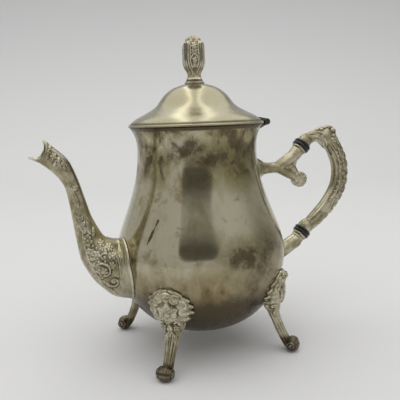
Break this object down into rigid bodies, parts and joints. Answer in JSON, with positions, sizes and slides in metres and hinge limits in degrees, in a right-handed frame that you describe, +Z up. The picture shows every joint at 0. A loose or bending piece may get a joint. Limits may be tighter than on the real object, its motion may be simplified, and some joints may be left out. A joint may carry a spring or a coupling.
{
  "type": "coffee pot",
  "caption": "Footed metal coffee pot with a hinged domed lid, swan-neck spout, heat-broken scroll handle and cast cabriole legs.",
  "frame": {"origin": "on the table, midway between the spout's lower lip and the back of the handle; the pot's own axis stands at x = -9.8 mm", "axes": "+Z up, +X towards the handle, -X towards the spout, Y across the pot"},
  "size_m": [0.2804, 0.138, 0.25],
  "materials": {
    "spun_plate": "tarnished silver plate on spun brass, soft polish",
    "cast_plate": "silver plate on castings, dark in the hollows",
    "ring_plate": "dull silver plate",
    "hinge_metal": "tarnished plate",
    "heat_break": "black moulded heat break, satin",
    "fastener_brass": "dull plated brass"
  },
  "bodies": {
    "pot": {"body": "spun_plate", "base_disc": "ring_plate", "mouth_ring": "ring_plate", "spout": "cast_plate", "leg_spout_front": "cast_plate", "leg_spout_back": "cast_plate", "leg_handle_front": "cast_plate", "leg_handle_back": "cast_plate", "upper_socket": "cast_plate", "upper_insulator": "heat_break", "upper_pins": "fastener_brass", "handle": "cast_plate", "lower_insulator": "heat_break", "lower_pins": "fastener_brass", "lower_socket": "cast_plate", "hinge_body_leaf": "hinge_metal", "hinge_pin": "hinge_metal"},
    "lid_assembly": {"lid": "spun_plate", "lid_bezel": "ring_plate", "hinge_lid_leaf": "hinge_metal", "finial_collar": "cast_plate", "finial": "cast_plate", "finial_washer": "fastener_brass", "finial_nut": "fastener_brass"}
  },
  "joints": [
    {"name": "lid_hinge", "type": "hinge", "parent": "pot", "child": "lid_assembly", "pos_m": [0.0517, 0, 0.1816], "axis": [0, 1, 0], "range_deg": [0, 105]}
  ]
}
